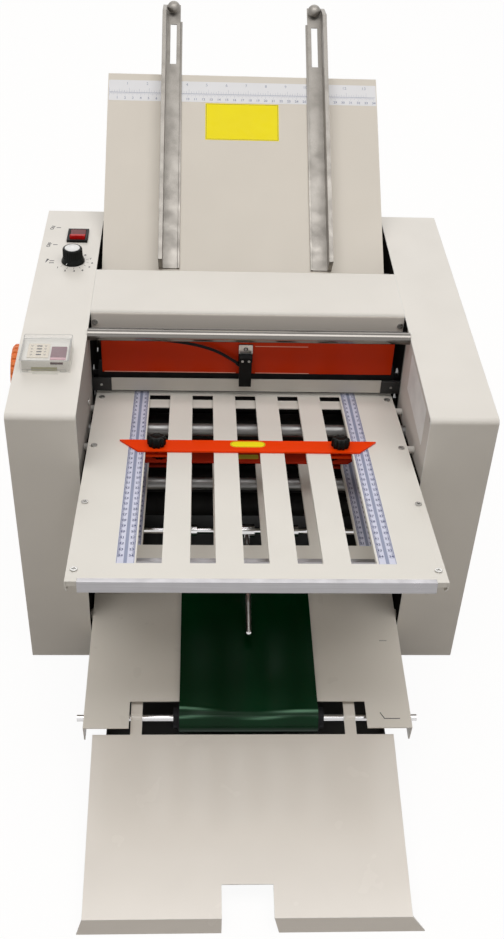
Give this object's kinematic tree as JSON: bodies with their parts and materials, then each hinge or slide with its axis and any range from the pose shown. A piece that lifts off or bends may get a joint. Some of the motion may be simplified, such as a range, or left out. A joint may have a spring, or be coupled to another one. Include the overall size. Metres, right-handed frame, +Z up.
{
  "type": "paper folding machine",
  "caption": "Table-top paper folder: sloped feed table with guides, slotted fold plates with sliding stops, geared rollers, belt delivery and a hinged catch tray between two housings.",
  "frame": {"origin": "bottom centre of the whole machine's box, on the table it stands on", "axes": "+X to the right seen from the delivery end, +Y from the catch tray towards the feed table, +Z up"},
  "size_m": [0.52, 0.9894, 0.5637],
  "materials": {
    "housing_paint": "light grey powder paint",
    "plate_paint": "light grey powder paint",
    "dark_paint": "dark grey paint",
    "inner_paint": "grey inner paint",
    "red_paint": "dark red gloss paint",
    "orange_paint": "orange gloss paint",
    "lower_stop_paint": "dark red paint",
    "bare_steel": "bare steel",
    "chrome": "bright chrome",
    "aluminium": "plain aluminium",
    "screw_steel": "screws",
    "roller_rubber": "black roller cover",
    "feed_rubber": "grip rubber",
    "foot_rubber": "matte black rubber",
    "belt_green": "dark green belt",
    "drive_belt": "black belt",
    "black_plastic": "matte black plastic",
    "knob_plastic": "black plastic",
    "rocker_plastic": "red glossy plastic",
    "wheel_orange": "orange plastic",
    "cable_black": "black sheath",
    "motor_paint": "dark grey housing",
    "roller_plastic": "black plastic drum",
    "guide_metal": "satin channel",
    "case_plastic": "pale plastic",
    "face_plastic": "key film and window",
    "clear_plastic": "clear plastic",
    "wheel_white": "pale plastic wheels"
  },
  "bodies": {
    "frame": {"left_housing": "housing_paint", "right_housing": "housing_paint", "side_plates": "inner_paint", "base_pan": "dark_paint", "rubber_feet": "foot_rubber", "tie_rods": "bare_steel", "roller_bearings": "bare_steel", "top_cover": "housing_paint", "front_bar": "chrome", "red_guard": "red_paint", "rest_strip": "housing_paint", "paper_sensor": "black_plastic", "sensor_cable": "cable_black", "upper_plate_top": "plate_paint", "upper_plate_bottom": "plate_paint", "upper_plate_profile": "aluminium", "lower_plate_top": "plate_paint", "lower_plate_bottom": "plate_paint", "lower_plate_profile": "aluminium", "plate_screws": "screw_steel", "second_fold_plate": "plate_paint", "fourth_fold_plate": "plate_paint", "feed_separator": "feed_rubber", "motor": "motor_paint", "drive_belts": "drive_belt", "feed_table": "plate_paint", "delivery_table": "housing_paint", "delivery_axle": "chrome", "conveyor_belt": "belt_green", "cross_rod": "chrome", "switch_bezel": "black_plastic", "counter_case": "case_plastic", "counter_face": "face_plastic"},
    "fold_roller_1": {"fold_roller_1": "roller_rubber", "hand_wheel": "wheel_orange"},
    "fold_roller_2": {"fold_roller_2": "roller_rubber"},
    "fold_roller_3": {"fold_roller_3": "roller_rubber"},
    "fold_roller_4": {"fold_roller_4": "roller_rubber"},
    "fold_roller_5": {"fold_roller_5": "roller_rubber"},
    "fold_roller_6": {"fold_roller_6": "roller_rubber"},
    "feed_roller": {"feed_roller": "feed_rubber"},
    "motor_pulley": {"motor_pulley": "aluminium"},
    "conveyor_front_roller": {"conveyor_front_roller": "roller_plastic"},
    "conveyor_rear_roller": {"conveyor_rear_roller": "roller_plastic"},
    "press_rod": {"press_rod": "chrome"},
    "press_wheels": {"press_wheels": "wheel_white"},
    "catch_tray": {"catch_tray": "housing_paint"},
    "upper_stop_bar": {"upper_stop_bar": "orange_paint"},
    "upper_left_knob": {"upper_left_knob": "knob_plastic"},
    "upper_right_knob": {"upper_right_knob": "knob_plastic"},
    "lower_stop_bar": {"lower_stop_bar": "lower_stop_paint"},
    "lower_left_knob": {"lower_left_knob": "knob_plastic"},
    "lower_right_knob": {"lower_right_knob": "knob_plastic"},
    "second_plate_stop": {"second_plate_stop": "orange_paint"},
    "fourth_plate_stop": {"fourth_plate_stop": "orange_paint"},
    "left_guide": {"left_guide": "guide_metal"},
    "right_guide": {"right_guide": "guide_metal"},
    "power_rocker": {"power_rocker": "rocker_plastic"},
    "speed_knob": {"speed_knob": "knob_plastic"},
    "counter_cover": {"counter_cover": "clear_plastic"}
  },
  "joints": [
    {"name": "fold_roller_1_spin", "type": "hinge", "parent": "frame", "child": "fold_roller_1", "pos_m": [0.0105, 0.05123, 0.27354], "axis": [1, 0, 0], "continuous": true},
    {"name": "fold_roller_2_spin", "type": "hinge", "parent": "frame", "child": "fold_roller_2", "pos_m": [0.0105, 0.04599, 0.24096], "axis": [1, 0, 0], "continuous": true},
    {"name": "fold_roller_3_spin", "type": "hinge", "parent": "frame", "child": "fold_roller_3", "pos_m": [0.0105, 0.02046, 0.22006], "axis": [1, 0, 0], "continuous": true},
    {"name": "fold_roller_4_spin", "type": "hinge", "parent": "frame", "child": "fold_roller_4", "pos_m": [0.0105, 0.01522, 0.18748], "axis": [1, 0, 0], "continuous": true},
    {"name": "fold_roller_5_spin", "type": "hinge", "parent": "frame", "child": "fold_roller_5", "pos_m": [0.0105, -0.01032, 0.16657], "axis": [1, 0, 0], "continuous": true},
    {"name": "fold_roller_6_spin", "type": "hinge", "parent": "frame", "child": "fold_roller_6", "pos_m": [0.0105, -0.01555, 0.13399], "axis": [1, 0, 0], "continuous": true},
    {"name": "feed_roller_spin", "type": "hinge", "parent": "frame", "child": "feed_roller", "pos_m": [0.0105, 0.11596, 0.27408], "axis": [1, 0, 0], "continuous": true},
    {"name": "motor_pulley_spin", "type": "hinge", "parent": "frame", "child": "motor_pulley", "pos_m": [0.0105, 0.25167, 0.076], "axis": [1, 0, 0], "continuous": true},
    {"name": "conveyor_front_spin", "type": "hinge", "parent": "frame", "child": "conveyor_front_roller", "pos_m": [0.0105, -0.27457, 0.04952], "axis": [1, 0, 0], "continuous": true},
    {"name": "conveyor_rear_spin", "type": "hinge", "parent": "frame", "child": "conveyor_rear_roller", "pos_m": [0.0105, -0.05912, 0.06171], "axis": [1, 0, 0], "continuous": true},
    {"name": "press_rod_lift", "type": "hinge", "parent": "frame", "child": "press_rod", "pos_m": [0.0105, -0.05543, 0.124], "axis": [1, 0, 0], "range_deg": [-25, 0]},
    {"name": "press_wheels_spin", "type": "hinge", "parent": "press_rod", "child": "press_wheels", "pos_m": [0.0105, -0.09723, 0.0874], "axis": [1, 0, 0], "continuous": true},
    {"name": "catch_tray_lift", "type": "hinge", "parent": "frame", "child": "catch_tray", "pos_m": [0.0105, -0.27457, 0.04952], "axis": [1, 0, 0], "range_deg": [-15, 0]},
    {"name": "upper_stop_slide", "type": "slide", "parent": "frame", "child": "upper_stop_bar", "axis": [0, 0.9873, -0.1587], "range_m": [-0.213, 0.098]},
    {"name": "lower_stop_slide", "type": "slide", "parent": "frame", "child": "lower_stop_bar", "axis": [0, 0.9873, -0.1587], "range_m": [-0.176, 0.008]},
    {"name": "upper_left_knob_turn", "type": "hinge", "parent": "upper_stop_bar", "child": "upper_left_knob", "pos_m": [-0.0898, -0.09923, 0.28582], "axis": [0, 0.1587, 0.9873], "range_deg": [0, 180]},
    {"name": "upper_right_knob_turn", "type": "hinge", "parent": "upper_stop_bar", "child": "upper_right_knob", "pos_m": [0.107, -0.09923, 0.28582], "axis": [0, 0.1587, 0.9873], "range_deg": [0, 180]},
    {"name": "lower_left_knob_turn", "type": "hinge", "parent": "lower_stop_bar", "child": "lower_left_knob", "pos_m": [-0.0898, -0.03137, 0.21649], "axis": [0, 0.1587, 0.9873], "range_deg": [0, 180]},
    {"name": "lower_right_knob_turn", "type": "hinge", "parent": "lower_stop_bar", "child": "lower_right_knob", "pos_m": [0.107, -0.03137, 0.21649], "axis": [0, 0.1587, 0.9873], "range_deg": [0, 180]},
    {"name": "second_stop_slide", "type": "slide", "parent": "frame", "child": "second_plate_stop", "axis": [0, 0.6691, -0.7431], "range_m": [-0.06, 0.06]},
    {"name": "fourth_stop_slide", "type": "slide", "parent": "frame", "child": "fourth_plate_stop", "axis": [0, 0.6691, -0.7431], "range_m": [-0.05, 0.05]},
    {"name": "left_guide_slide", "type": "slide", "parent": "frame", "child": "left_guide", "axis": [1, 0, 0], "range_m": [-0.055, 0.06]},
    {"name": "right_guide_slide", "type": "slide", "parent": "frame", "child": "right_guide", "axis": [1, 0, 0], "range_m": [-0.06, 0.055]},
    {"name": "power_rocker_tilt", "type": "hinge", "parent": "frame", "child": "power_rocker", "pos_m": [-0.1963, 0.22867, 0.353], "axis": [1, 0, 0], "range_deg": [0, 16]},
    {"name": "speed_knob_turn", "type": "hinge", "parent": "frame", "child": "speed_knob", "pos_m": [-0.197, 0.16667, 0.3565], "axis": [0, 0, 1], "range_deg": [-280, 0]},
    {"name": "counter_cover_lift", "type": "hinge", "parent": "frame", "child": "counter_cover", "pos_m": [-0.2057, -0.02103, 0.3583], "axis": [1, 0, 0], "range_deg": [-95, 0]}
  ],
  "couplings": [
    {"joint": "fold_roller_2_spin", "follows": "fold_roller_1_spin", "ratio": -1},
    {"joint": "fold_roller_3_spin", "follows": "fold_roller_1_spin", "ratio": 1},
    {"joint": "fold_roller_4_spin", "follows": "fold_roller_1_spin", "ratio": -1},
    {"joint": "fold_roller_5_spin", "follows": "fold_roller_1_spin", "ratio": 1},
    {"joint": "fold_roller_6_spin", "follows": "fold_roller_1_spin", "ratio": -1},
    {"joint": "feed_roller_spin", "follows": "fold_roller_1_spin", "ratio": -1},
    {"joint": "motor_pulley_spin", "follows": "fold_roller_1_spin", "ratio": 1.6536},
    {"joint": "conveyor_front_spin", "follows": "fold_roller_1_spin", "ratio": -1},
    {"joint": "conveyor_rear_spin", "follows": "fold_roller_1_spin", "ratio": -1},
    {"joint": "press_wheels_spin", "follows": "fold_roller_1_spin", "ratio": 1.2417}
  ]
}
